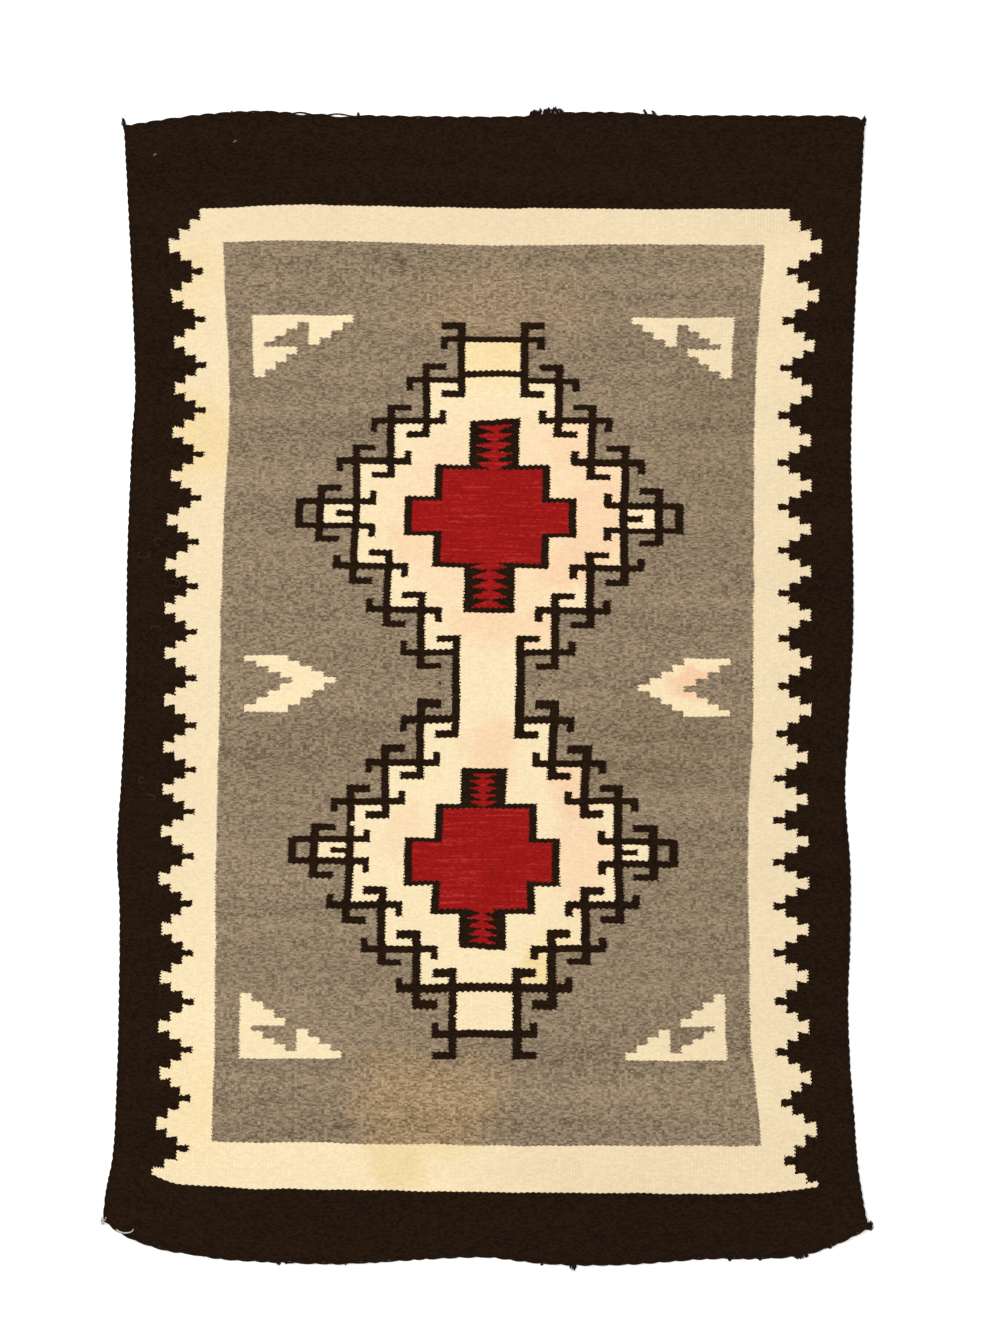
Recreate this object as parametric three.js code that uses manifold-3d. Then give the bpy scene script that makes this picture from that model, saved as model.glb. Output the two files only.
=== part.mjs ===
// Hand-woven wool rug, lying flat: one woven cloth, a twisted cord along each of its four edges,
// and a small knotted tassel at each corner.
// Millimetres, +Z up. The origin is on the floor under the middle of the rug, and +Y is its length.
import * as THREE from 'three';
import { mergeVertices } from 'three/addons/utils/BufferGeometryUtils.js';
import Module from 'manifold-3d';

// Driving dimensions
const CLOTH_THICKNESS = 4.4;
const CORD_RADIUS = 2.0;
const TWIST_DEPTH = 0.15; // how far a ply stands out, as a share of the cord's radius
const LOBE_LENGTH = 24; // one ply's bump along a cord
const SEAM_GAP = 0.9; // from a cord's mean surface to the cloth
const PIECE_GAP = 0.35; // from a corner knot to the cloth and to the cords' ends
const KNOT_HALF_HEIGHT = 2.3;
const STRAND_TIP_RADIUS = 0.4;

// Mesh density
const CLOTH_COLUMNS = 32;
const CLOTH_ROWS = 42;
const EDGE_CROWDING = 0.25; // draws the grid lines towards the edges
const CORD_SIDES = 6;
const STEPS_PER_LOBE = 3;
const STRAND_SIDES = 4;
const STRAND_STEPS = 2;

// The rug's outer edge, cords included. `at` runs along the edge and `out` is its distance from
// the middle of the rug: the edge is as uneven as the real one.
const LEFT_EDGE = [
  { at: -714, out: -518 },
  { at: -680, out: -515 },
  { at: -626, out: -505 },
  { at: -554, out: -501 },
  { at: -464, out: -498 },
  { at: -294, out: -496 },
  { at: -217, out: -499.5 },
  { at: -113, out: -493.5 },
  { at: 13, out: -487.5 },
  { at: 166, out: -486 },
  { at: 281, out: -482 },
  { at: 346, out: -479 },
  { at: 405, out: -475 },
  { at: 539, out: -479 },
  { at: 612, out: -482.5 },
  { at: 761, out: -490 },
];
const RIGHT_EDGE = [
  { at: -726, out: 516 },
  { at: -710, out: 511.5 },
  { at: -644, out: 501 },
  { at: -572, out: 495.5 },
  { at: -500, out: 490 },
  { at: -417, out: 487.5 },
  { at: -348, out: 490 },
  { at: -239, out: 490.5 },
  { at: -138, out: 483.5 },
  { at: -60, out: 487.5 },
  { at: 76, out: 494 },
  { at: 188, out: 494 },
  { at: 328, out: 491.5 },
  { at: 485, out: 495.5 },
  { at: 636, out: 503.5 },
  { at: 764, out: 509.5 },
];
const BOTTOM_EDGE = [
  { at: -518, out: -714 },
  { at: -494, out: -733 },
  { at: -444, out: -753.5 },
  { at: -398, out: -762 },
  { at: -350, out: -769 },
  { at: -239, out: -774 },
  { at: -184, out: -774 },
  { at: -9, out: -765.5 },
  { at: 64, out: -773 },
  { at: 118, out: -776 },
  { at: 193, out: -775 },
  { at: 298, out: -768 },
  { at: 374, out: -767.5 },
  { at: 424, out: -763 },
  { at: 468, out: -749.5 },
  { at: 516, out: -726 },
];
const TOP_EDGE = [
  { at: -490, out: 761 },
  { at: -398, out: 775 },
  { at: -315, out: 781 },
  { at: -261, out: 779 },
  { at: -173, out: 775.5 },
  { at: 18, out: 773.5 },
  { at: 64, out: 775.5 },
  { at: 99, out: 779 },
  { at: 193, out: 779 },
  { at: 230, out: 776 },
  { at: 389, out: 775 },
  { at: 486, out: 774 },
  { at: 501, out: 771 },
  { at: 509.5, out: 764 },
];

// Low places where the cloth has come off the floor: its corners curl and its edges ripple.
const RIPPLES = [
  { x: -512, y: -728, reach: 125, height: 7 },
  { x: 512, y: -732, reach: 130, height: 5 },
  { x: -492, y: 764, reach: 95, height: 3.5 },
  { x: 508, y: 766, reach: 100, height: 4 },
  { x: -505, y: -250, reach: 120, height: 2.2 },
  { x: 498, y: 110, reach: 130, height: 2 },
  { x: 496, y: -290, reach: 110, height: 2.2 },
  { x: -305, y: 788, reach: 110, height: 2.4 },
  { x: 145, y: 786, reach: 110, height: 2 },
  { x: -215, y: -782, reach: 120, height: 2.6 },
  { x: 150, y: -784, reach: 130, height: 2.6 },
];

// Stretches where an end cord stands off the cloth: `out` is how far, over a half length of `reach`.
const STAND_OFFS = {
  top: [
    { at: -247, reach: 14, out: 0.7 },
    { at: -195, reach: 24, out: 1.3 },
  ],
  bottom: [{ at: -488, reach: 26, out: 1.6 }],
};

// Frayed strands that stand out of an end cord, in the order in which they lie.
const FRAYED_STRANDS = {
  top: [
    { at: -345, rise: 2.2, lean: 0.5, width: 1.5 },
    { at: -173, rise: 4.2, lean: -1, width: 2.4 },
    { at: 59, rise: 6, lean: -0.5, width: 2.4 },
    { at: 63, rise: 6.6, lean: 1, width: 2.6 },
    { at: 66.5, rise: 5.4, lean: 0.6, width: 2 },
    { at: 71, rise: 8, lean: 1.6, width: 1.8 },
    { at: 79, rise: 6.8, lean: -1.2, width: 2.6 },
    { at: 82.5, rise: 6.6, lean: 0.4, width: 2.8 },
    { at: 86.5, rise: 5.8, lean: 1.8, width: 2.4 },
    { at: 98, rise: 4.8, lean: -7, width: 2.2 },
    { at: 218, rise: 6, lean: -5, width: 2 },
    { at: 228, rise: 6, lean: -5.5, width: 2.2 },
  ],
  bottom: [
    { at: -279, rise: 2.4, lean: 0.8, width: 1.5 },
    { at: -190, rise: 2.2, lean: -0.8, width: 1.5 },
    { at: 75, rise: 3, lean: -1.6, width: 2.2 },
    { at: 114, rise: 5, lean: -1.4, width: 2.2 },
    { at: 118, rise: 8.1, lean: 0, width: 2.6 },
    { at: 421, rise: 3, lean: -1.6, width: 2.8 },
    { at: 428, rise: 3, lean: 1.6, width: 3 },
  ],
};

// Loose strands of the corner tassels: how far each tip lies from its knot, and the root's width.
const TASSEL_STRANDS = {
  top_left: [
    { right: -3.6, up: 13.5, width: 3.2 },
    { right: -1.6, up: 10, width: 2.4 },
    { right: -4.8, up: 9, width: 2 },
  ],
  top_right: [
    { right: 2.6, up: 11.5, width: 2.4 },
    { right: 3.4, up: 7, width: 2 },
  ],
  bottom_left: [
    { right: -5, up: 4.4, width: 1.8 },
    { right: -4.8, up: 1, width: 2.4 },
    { right: -4, up: -3.4, width: 2.4 },
  ],
  bottom_right: [
    { right: 7, up: 6.4, width: 1.8 },
    { right: 7.4, up: 2.6, width: 2.2 },
    { right: 7.2, up: -1.4, width: 2.2 },
    { right: 3.6, up: -5.4, width: 2 },
  ],
};

// Colours
const BODY_COLOR = 0x8d7b64;
const DARK_YARN = 0x24170e;
const PALE_YARN = 0xcfc6ba;
const WOOL_ROUGHNESS = 0.95;

const wasm = await Module();
wasm.setup();

const rug = new THREE.Group();

// A smooth curve through a table's rows. It gives the edge's place and slope at any distance.
function smoothEdge(rows) {
  const last = rows.length - 1;
  const slopes = rows.map((row, i) => {
    const before = rows[Math.max(i - 1, 0)];
    const after = rows[Math.min(i + 1, last)];
    return (after.out - before.out) / (after.at - before.at);
  });
  return (at) => {
    let i = 0;
    while (i < last - 1 && rows[i + 1].at < at) i += 1;
    const span = rows[i + 1].at - rows[i].at;
    const t = THREE.MathUtils.clamp((at - rows[i].at) / span, 0, 1);
    const [p0, p1] = [rows[i].out, rows[i + 1].out];
    const [m0, m1] = [slopes[i] * span, slopes[i + 1] * span];
    const rise = p1 - p0;
    const bend = m0 + (3 * rise - 2 * m0 - m1) * t + (m0 + m1 - 2 * rise) * t * t;
    const slope = (m0 + 2 * (3 * rise - 2 * m0 - m1) * t + 3 * (m0 + m1 - 2 * rise) * t * t) / span;
    return { out: p0 + bend * t, slope };
  };
}

// The same edge moved inwards by `depth`, square to itself. `inward` is +1 or -1.
function insetEdge(rows, inward) {
  const edge = smoothEdge(rows);
  return (at, depth) => {
    const { out, slope } = edge(at);
    return out + inward * depth * Math.hypot(1, slope);
  };
}

const leftEdge = insetEdge(LEFT_EDGE, 1);
const rightEdge = insetEdge(RIGHT_EDGE, -1);
const bottomEdge = insetEdge(BOTTOM_EDGE, 1);
const topEdge = insetEdge(TOP_EDGE, -1);

// The point at shares s across and t along the rug, on an outline that lies `depth` inside its edge.
function rugPoint(s, t, depth) {
  const rounds = 8;
  const point = new THREE.Vector2();
  for (let i = 0; i < rounds; i += 1) {
    point.x = THREE.MathUtils.lerp(leftEdge(point.y, depth), rightEdge(point.y, depth), s);
    point.y = THREE.MathUtils.lerp(bottomEdge(point.x, depth), topEdge(point.x, depth), t);
  }
  return point;
}

// A smooth bump of height 1 that ends exactly at a share of 1 of its reach.
function softBump(share) {
  return share < 1 ? (1 - share * share) ** 2 : 0;
}

// Height of the rug's underside over the floor.
function rippleHeight(x, y) {
  return RIPPLES.reduce((sum, ripple) => {
    const share = Math.hypot(x - ripple.x, y - ripple.y) / ripple.reach;
    return sum + ripple.height * softBump(share);
  }, 0);
}

// Joins the points of a closed geometry, so that it holds nothing but positions and faces.
function mergedShape(geometry) {
  geometry.deleteAttribute('normal');
  geometry.deleteAttribute('uv');
  return mergeVertices(geometry, 1e-5);
}

function movePoints(geometry, place) {
  const points = geometry.getAttribute('position');
  const point = new THREE.Vector3();
  for (let i = 0; i < points.count; i += 1) {
    place(point.fromBufferAttribute(points, i));
    points.setXYZ(i, point.x, point.y, point.z);
  }
  geometry.computeVertexNormals();
  return geometry;
}

// A tube of the given section along a route. Its sides and ends are those of a cylinder whose
// points are moved onto the route.
function sweep({ route, radius, sides, steps }) {
  const up = new THREE.Vector3(0, 0, 1);
  const tube = mergedShape(new THREE.CylinderGeometry(1, 1, 1, sides, steps));
  return movePoints(tube, (point) => {
    const u = point.y + 0.5;
    const reach = Math.hypot(point.x, point.z);
    const angle = Math.atan2(point.z, point.x);
    const center = route(u);
    const step = 0.5 / steps;
    const along = route(Math.min(u + step, 1)).sub(route(Math.max(u - step, 0))).normalize();
    const side = along.clone().cross(up).normalize();
    const top = side.clone().cross(along);
    const r = reach * radius(u, angle);
    point.copy(center);
    point.addScaledVector(side, r * Math.cos(angle));
    point.addScaledVector(top, r * Math.sin(angle));
  });
}

function toSolid(geometry) {
  return new wasm.Manifold(
    new wasm.Mesh({
      numProp: 3,
      vertProperties: new Float32Array(geometry.getAttribute('position').array),
      triVerts: new Uint32Array(geometry.getIndex().array),
    }),
  );
}

function joinShapes(geometries) {
  const joined = geometries.map(toSolid).reduce((sum, solid) => sum.add(solid));
  const mesh = joined.getMesh();
  const geometry = new THREE.BufferGeometry();
  geometry.setAttribute('position', new THREE.BufferAttribute(mesh.vertProperties, mesh.numProp));
  geometry.setIndex(new THREE.BufferAttribute(mesh.triVerts, 1));
  geometry.computeVertexNormals();
  return geometry;
}

function addPiece(name, geometry, color) {
  const material = new THREE.MeshStandardMaterial({ color, roughness: WOOL_ROUGHNESS, metalness: 0 });
  const mesh = new THREE.Mesh(geometry, material);
  mesh.name = name;
  rug.add(mesh);
}

// Depths inside the outer edge: the cords' middle lines, and the cloth's own edge.
const CORD_DEPTH = CORD_RADIUS;
const CLOTH_DEPTH = 2 * CORD_RADIUS + SEAM_GAP;

// Woven cloth
function crowdedShare(share) {
  return share - (EDGE_CROWDING * Math.sin(2 * Math.PI * share)) / (2 * Math.PI);
}

function wovenBody() {
  const slab = mergedShape(new THREE.BoxGeometry(1, 1, 1, CLOTH_COLUMNS, CLOTH_ROWS, 1));
  return movePoints(slab, (point) => {
    const isTop = point.z > 0;
    const place = rugPoint(crowdedShare(point.x + 0.5), crowdedShare(point.y + 0.5), CLOTH_DEPTH);
    const underside = rippleHeight(place.x, place.y);
    point.set(place.x, place.y, underside + (isTop ? CLOTH_THICKNESS : 0));
  });
}

// Corner knots: each sits where two cords meet, as large as the room outside the cloth's corner.
const CORD_HEIGHT = CORD_RADIUS * (1 + TWIST_DEPTH);

function cornerKnot(s, t) {
  const center = rugPoint(s, t, CORD_DEPTH);
  const radius = center.distanceTo(rugPoint(s, t, CLOTH_DEPTH)) - PIECE_GAP;
  return { center, radius };
}

const KNOTS = {
  top_left: cornerKnot(0, 1),
  top_right: cornerKnot(1, 1),
  bottom_left: cornerKnot(0, 0),
  bottom_right: cornerKnot(1, 0),
};

// A loose strand from a root on a cord or knot to a tip that lies down on the floor or ripple.
function strand(root, tip, width) {
  const tipHeight = rippleHeight(tip.x, tip.y) + STRAND_TIP_RADIUS;
  const middle = root.clone().lerp(new THREE.Vector3(tip.x, tip.y, root.z), 0.5);
  const end = new THREE.Vector3(tip.x, tip.y, tipHeight);
  const curve = new THREE.QuadraticBezierCurve3(root, middle, end);
  return sweep({
    route: (u) => curve.getPoint(u),
    radius: (u) => THREE.MathUtils.lerp(width / 2, STRAND_TIP_RADIUS, u),
    sides: STRAND_SIDES,
    steps: STRAND_STEPS,
  });
}

function cornerTassel(knot, strands) {
  const height = rippleHeight(knot.center.x, knot.center.y) + CORD_HEIGHT;
  const root = new THREE.Vector3(knot.center.x, knot.center.y, height);
  const head = mergedShape(new THREE.SphereGeometry(1, 8, 6));
  movePoints(head, (point) => {
    point.multiply(new THREE.Vector3(knot.radius, KNOT_HALF_HEIGHT, knot.radius));
    point.set(point.x + root.x, -point.z + root.y, point.y + root.z);
  });
  const loose = strands.map(({ right, up, width }) =>
    strand(root, new THREE.Vector2(root.x + right, root.y + up), width),
  );
  return joinShapes([head, ...loose]);
}

// Twisted cords. A route runs between two corner knots and stops just short of both.
function twistedCord(route, length) {
  return sweep({
    route,
    radius: (u, angle) => {
      const twist = (Math.PI * length * u) / LOBE_LENGTH;
      return CORD_RADIUS * (1 + TWIST_DEPTH * Math.cos(2 * (angle - twist)));
    },
    sides: CORD_SIDES,
    steps: Math.round(length / LOBE_LENGTH) * STEPS_PER_LOBE,
  });
}

function onCord(x, y) {
  return new THREE.Vector3(x, y, rippleHeight(x, y) + CORD_HEIGHT);
}

function standOff(stretches, at) {
  return stretches.reduce((sum, { at: middle, reach, out }) => {
    return sum + out * softBump(Math.abs(at - middle) / reach);
  }, 0);
}

function endCord(edge, outward, start, end, stretches, frayed) {
  const from = start.center.x + start.radius + PIECE_GAP;
  const to = end.center.x - end.radius - PIECE_GAP;
  const place = (x) => onCord(x, edge(x, CORD_DEPTH) + outward * standOff(stretches, x));
  const cord = twistedCord((u) => place(THREE.MathUtils.lerp(from, to, u)), to - from);
  const strands = frayed.map(({ at, rise, lean, width }) => {
    const root = place(at);
    const tip = new THREE.Vector2(root.x + lean, root.y + outward * (CORD_RADIUS + rise));
    return strand(root, tip, width);
  });
  return joinShapes([cord, ...strands]);
}

function sideCord(edge, start, end) {
  const from = start.center.y + start.radius + PIECE_GAP;
  const to = end.center.y - end.radius - PIECE_GAP;
  const route = (u) => {
    const y = THREE.MathUtils.lerp(from, to, u);
    return onCord(edge(y, CORD_DEPTH), y);
  };
  return twistedCord(route, to - from);
}

addPiece('woven_body', wovenBody(), BODY_COLOR);
addPiece(
  'end_cord_top',
  endCord(topEdge, 1, KNOTS.top_left, KNOTS.top_right, STAND_OFFS.top, FRAYED_STRANDS.top),
  DARK_YARN,
);
addPiece(
  'end_cord_bottom',
  endCord(bottomEdge, -1, KNOTS.bottom_left, KNOTS.bottom_right, STAND_OFFS.bottom, FRAYED_STRANDS.bottom),
  DARK_YARN,
);
addPiece('selvage_cord_left', sideCord(leftEdge, KNOTS.bottom_left, KNOTS.top_left), DARK_YARN);
addPiece('selvage_cord_right', sideCord(rightEdge, KNOTS.bottom_right, KNOTS.top_right), DARK_YARN);
for (const [corner, strands] of Object.entries(TASSEL_STRANDS)) {
  const color = corner === 'bottom_left' ? PALE_YARN : DARK_YARN;
  addPiece(`corner_tassel_${corner}`, cornerTassel(KNOTS[corner], strands), color);
}

// The origin goes under the middle of the whole rug.
const box = new THREE.Box3().setFromObject(rug);
const middle = box.getCenter(new THREE.Vector3());
rug.position.set(-middle.x, -middle.y, -box.min.z);

export default rug;
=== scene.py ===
"""The looks of a hand-woven wool rug that lies flat on a pale floor, seen from straight above.

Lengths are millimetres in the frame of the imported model, until a mesh is made in metres. The pattern is
counted as a weaver counts it: in warps across from the rug's middle line, and along in rows of beads
from its middle, a bead being the small bump that the weft makes over one warp.
"""
import math
from functools import partialmethod

import bpy
import numpy as np
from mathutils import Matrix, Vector, noise


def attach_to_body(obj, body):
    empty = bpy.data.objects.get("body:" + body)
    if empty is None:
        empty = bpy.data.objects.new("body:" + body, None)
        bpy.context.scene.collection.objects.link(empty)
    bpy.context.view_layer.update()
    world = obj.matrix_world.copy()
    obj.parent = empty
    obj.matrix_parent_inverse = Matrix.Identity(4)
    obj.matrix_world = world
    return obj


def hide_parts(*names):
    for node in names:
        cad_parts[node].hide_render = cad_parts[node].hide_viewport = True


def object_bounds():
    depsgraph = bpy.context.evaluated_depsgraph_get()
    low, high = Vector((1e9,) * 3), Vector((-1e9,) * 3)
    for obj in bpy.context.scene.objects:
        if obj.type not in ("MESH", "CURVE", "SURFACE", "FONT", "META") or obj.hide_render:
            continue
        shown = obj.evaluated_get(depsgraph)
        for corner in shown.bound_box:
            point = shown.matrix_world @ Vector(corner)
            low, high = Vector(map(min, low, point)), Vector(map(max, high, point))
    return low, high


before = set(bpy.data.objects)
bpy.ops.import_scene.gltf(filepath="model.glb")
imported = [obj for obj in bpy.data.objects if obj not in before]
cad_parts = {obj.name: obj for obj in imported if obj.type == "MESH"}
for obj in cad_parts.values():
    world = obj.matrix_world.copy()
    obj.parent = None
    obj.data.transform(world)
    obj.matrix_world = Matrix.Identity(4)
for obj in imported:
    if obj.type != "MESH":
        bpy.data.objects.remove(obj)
cad_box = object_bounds()

MM = 0.001
BODY = "root"

# Driving sizes of the cloth and cords
CLOTH_THICKNESS = 4.4
CORD_HEIGHT = 2.6  # of a cord's middle line over the floor
CORD_DEPTH = 2.0  # of a cord's middle line inside the outer edge
CLOTH_DEPTH = 2.9  # of the cloth's edge, which the cords cover
ROW_LENGTH = 2.0
HALF_WARPS = 124  # from the middle line to a long side
WARP_PITCH = 4.0  # about, and the length too is where the search for each point's place starts
MEAN_LENGTH = 1540
FAR = 1000.0  # a place past either end or side

# The rug's outer edge, cords included, as uneven as the real one. `at` runs along the edge and `out` is
# its distance from the middle of the rug.
LEFT_EDGE = {
    "at": (-714, -680, -626, -554, -464, -294, -217, -113, 13, 166, 281, 346, 405, 539, 612, 761),
    "out": (-518, -515, -505, -501, -498, -496, -499.5, -493.5, -487.5, -486, -482, -479, -475, -479,
            -482.5, -490),
}
RIGHT_EDGE = {
    "at": (-726, -710, -644, -572, -500, -417, -348, -239, -138, -60, 76, 188, 328, 485, 636, 764),
    "out": (516, 511.5, 501, 495.5, 490, 487.5, 490, 490.5, 483.5, 487.5, 494, 494, 491.5, 495.5,
            503.5, 509.5),
}
BOTTOM_EDGE = {
    "at": (-518, -494, -444, -398, -350, -239, -184, -9, 64, 118, 193, 298, 374, 424, 468, 516),
    "out": (-714, -733, -753.5, -762, -769, -774, -774, -765.5, -773, -776, -775, -768, -767.5, -763,
            -749.5, -726),
}
TOP_EDGE = {
    "at": (-490, -398, -315, -261, -173, 18, 64, 99, 193, 230, 389, 486, 501, 509.5),
    "out": (761, 775, 781, 779, 775.5, 773.5, 775.5, 779, 779, 776, 775, 774, 771, 764),
}

# Where the cloth has come off the floor: its corners curl and its edges ripple. Each is a round rise: x and
# y of its middle, its reach and its height.
RIPPLES = (
    (-512, -728, 125, 7),
    (512, -732, 130, 5),
    (-492, 764, 95, 3.5),
    (508, 766, 100, 4),
    (-505, -250, 120, 2.2),
    (498, 110, 130, 2),
    (496, -290, 110, 2.2),
    (-305, 788, 110, 2.4),
    (145, 786, 110, 2),
    (-215, -782, 120, 2.6),
    (150, -784, 130, 2.6),
)

# How the cloth was drawn in on the loom: places y along the rug, and the place x of one of its warps there
WARP_LINES = {
    -110.5: (
        (-651, -587, -523, -456, -321, -252, -134, 52, 174, 290, 409, 471, 600),
        (-452.6, -445.5, -440.5, -443, -438.5, -442, -436.8, -434.6, -433.5, -426.8, -421, -422.2,
         -428.8),
    ),
    -99: (
        (-624, -553, -419, -291, -107, 82, 201, 320, 412, 502, 566, 645),
        (-403, -400.3, -395.5, -397.5, -392.5, -391.5, -388.6, -380.7, -377.5, -379.5, -383.3, -388),
    ),
    -91: (
        (-608, -473, -230, -68, 95, 257, 338, 419, 581),
        (-371.9, -367.5, -365.9, -361.7, -359.5, -354.4, -349, -347.4, -355.6),
    ),
    -52: (
        (-400, -300, -251, -202, -154, -105, -8, 89, 186, 235, 283, 332, 400),
        (-210.9, -210.2, -206.3, -204.3, -202.4, -203.7, -202.9, -204.5, -199.2, -196.6, -194.8, -195.8,
         -195.1),
    ),
    0: (
        (-419, -217, -95, -14, 68, 239, 392, 500),
        (-2.7, -4.1, -0.7, 1.4, 2, 5.4, 8.5, 8.8),
    ),
    52: (
        (-400, -300, -251, -202, -154, -105, -57, 20, 89, 138, 186, 235, 283, 332, 400),
        (201.4, 198.9, 196.8, 195.6, 196.4, 198.9, 203.1, 206.5, 205.2, 205.1, 204.1, 203.3, 205.1,
         206.3, 209.8),
    ),
    91: (
        (-612, -554, -473, -230, -149, -68, 14, 176, 338, 419, 500, 581),
        (369.9, 364.5, 355.7, 351.8, 352.5, 358.7, 359.2, 360, 360.3, 362.6, 366.8, 373.7),
    ),
    99: (
        (-636, -556, -485, -355, -232, -118, 8, 190, 340, 437, 498, 566, 641),
        (401.4, 396.5, 389.9, 386.9, 385.4, 387.5, 392.9, 392.4, 392.2, 396.2, 398.9, 404.5, 408.4),
    ),
    110.5: (
        (-668, -591, -523, -386, -261, -91, -26, 219, 406, 467, 534, 602),
        (446.2, 444.4, 436.7, 432, 434, 432, 437.4, 436.5, 437.7, 441.5, 447.9, 452),
    ),
}

# How the weft was beaten down, a little more on one side than on the other: the place y of some rows of
# beads, at the left, in the middle and at the right of the field.
ROW_PLACES = {
    "row": (-325, -300, -251, -234.9, -206.7, -178.5, -150.3, -122.1, -105.9, -77.7, -49.5, -21.3, 0,
        21.3, 49.5, 77.7, 105.9, 122.1, 150.3, 178.5, 206.7, 234.9, 251, 300, 325),
    "left": (-673, -610.2, -496.4, -465.5, -404.3, -348.7, -290.3, -229.2, -201.6, -150.8, -97.2, -39.8,
        12.2, 51.3, 110, 169.4, 222.8, 255.8, 309.8, 363.2, 417.8, 474.5, 506.3, 607.5, 654.8),
    "middle": (-676.9, -614.3, -497.5, -465.3, -400.7, -349, -290.3, -232.2, -203.2, -150.5, -98.6,
        -40.5, 8.1, 51.3, 107.3, 166.7, 218, 251.8, 307.8, 363.2, 417.8, 473.2, 504.5, 600.8, 649.9),
    "right": (-679.7, -614.3, -499.5, -467.1, -405, -349.4, -290, -234.9, -205.6, -149.9, -100.6, -42.3,
        1.4, 50.6, 104.6, 164, 213.3, 247.7, 305.8, 363.2, 414.5, 471.2, 502.6, 601.2, 649.4),
}
ROW_PLACES_X = {"left": -250, "middle": 5, "right": 260}

# The place y of some teeth of the serrated border, counted from the top down.
LEFT_TEETH = {
    "tooth": (20, 19, 18, 17, 15, 14, 13, 11, 9, 6, 3, 1, 0),
    "y": (-652, -584.5, -517, -453.5, -322, -254, -190, -77.5, 50.5, 229.5, 407, 531.5, 598.3),
}
RIGHT_TEETH = {
    "tooth": (20, 19.5, 19, 16, 14, 11, 8, 7, 6, 5, 4, 3, 2, 1, 0),
    "y": (-672.5, -636, -591.3, -386.1, -260.6, -91, 101.5, 160, 217, 276, 337, 404.5, 464, 532,
          597.5),
}
ROWS_PER_TOOTH = 31.4
END_TOOTH_LENGTH = 83  # above the first tip
TOP_COUNT = -0.5  # of a tooth, held from there upwards
LAST_TOOTH = 20  # counted from the top

# Near its corners the pale band lies some rows further out or in: the side and the end of the corner, the
# stretch of x over which this grows, and the rows. It takes hold over a stretch of y.
CORNER_STRETCH = (560, 650)
BAND_CORNERS = (
    (-1, -1, 300, 420, -2.5),
    (-1, -1, 408, 480, -8.5),
    (1, -1, 350, 505, -5.5),
    (-1, 1, 250, 400, 2.6),
)

# The pattern, in warps across and rows along
FIELD_WARPS = 91
FIELD_ROWS = 300
BAND_ROWS = 325
TOOTH_TIP = 110.5
TOOTH_STEP = 3.83
DIAMOND_ROW = 114  # of a diamond's middle, from the rug's
POST_FIRST = 11  # of the post next to the middle line
POST_PITCH = 12
LAST_POST = POST_FIRST + 4 * POST_PITCH
BEAM_FIRST = 8.1
BEAM_PITCH = 28.2
POST_HALF_WIDTH = 1.38
POST_HALF_LENGTH = 25.7
BEAM_HALF_HEIGHT = 2.2
BEAM_HALF_LENGTH = 13
BEAM_MIDDLE = LAST_POST - POST_PITCH / 2  # of the beams next to a diamond's middle
TIP_BEAM = 97.2  # the short beam between the two middle posts
LOWER_TIP_BEAM = 92.7
BOX_HALF_HEIGHT = 10.1  # of the box at each side corner
HOOK_LENGTH = 8.2
BARB_HALF_WIDTH = 1.2
BARB_REACH = 7.4
FOOT_EXTRA = 4.5  # by which the lower diamond's last posts run further out
FOOT_START = 3  # and further in
FOOT_ROW = 93  # about which the lower diamond's bars are highest
FOOT_REACH = 12
CROSS_SIDE = 2.8  # width of a cross's dark outline beside its red body
CROSS_CAP = 3.2  # and at the body's ends
CROSS_ARM_CAP = 3.0  # and at the arms'
DARTS = 5  # in each half of a cross's column
DART_WIDEST = 0.76  # share of a dart's length at which it is widest

# Colours of the photographed wool, as sRGB levels
GREY_WOOL = (144, 126, 102)
CREAM_WOOL = (250, 229, 187)
DARK_WOOL = (34, 20, 8)
RED_WOOL = (155, 21, 20)
LIGHT_RED = (196, 66, 58)
PALE_WOOL = (207, 198, 186)
HAIR_COLOR = (122, 106, 90)
LIGHT_LEVEL = 1.25  # light that falls on the rug, over what shows a colour as it is

# Camera: it looks straight down at a frame of this size and middle.
VIEW_X = 17.55
VIEW_Y = 31.7
VIEW_LENGTH = 1799.6  # from the frame's bottom to its top
LENS = 100
SENSOR = 24


def linear(levels):
    """The linear albedo that shows as these sRGB levels under the scene's light."""
    shares = (level / 255 for level in levels)
    return tuple(
        (s / 12.92 if s <= 0.04045 else ((s + 0.055) / 1.055) ** 2.4) / LIGHT_LEVEL for s in shares
    )


# The rug's outline and lie
def smooth_edge(edge, at):
    """Place and slope of a smooth curve through an edge's rows, at an array of distances."""
    rows_at = np.array(edge["at"], float)
    rows_out = np.array(edge["out"], float)
    before = np.concatenate(([0], np.arange(len(rows_at) - 1)))
    after = np.concatenate((np.arange(1, len(rows_at)), [len(rows_at) - 1]))
    slopes = (rows_out[after] - rows_out[before]) / (rows_at[after] - rows_at[before])
    i = np.clip(np.searchsorted(rows_at, at, side="right") - 1, 0, len(rows_at) - 2)
    span = rows_at[i + 1] - rows_at[i]
    t = np.clip((at - rows_at[i]) / span, 0, 1)
    rise = rows_out[i + 1] - rows_out[i]
    start, end = slopes[i] * span, slopes[i + 1] * span
    square, cube = 3 * rise - 2 * start - end, start + end - 2 * rise
    place = rows_out[i] + start * t + square * t**2 + cube * t**3
    slope = (start + 2 * square * t + 3 * cube * t**2) / span
    return place, slope


def inset_edge(edge, at, depth):
    """The edge moved towards the rug's middle by `depth`, square to itself."""
    place, slope = smooth_edge(edge, at)
    inward = -np.sign(edge["out"][0])
    return place + inward * depth * np.hypot(1, slope)


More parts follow.
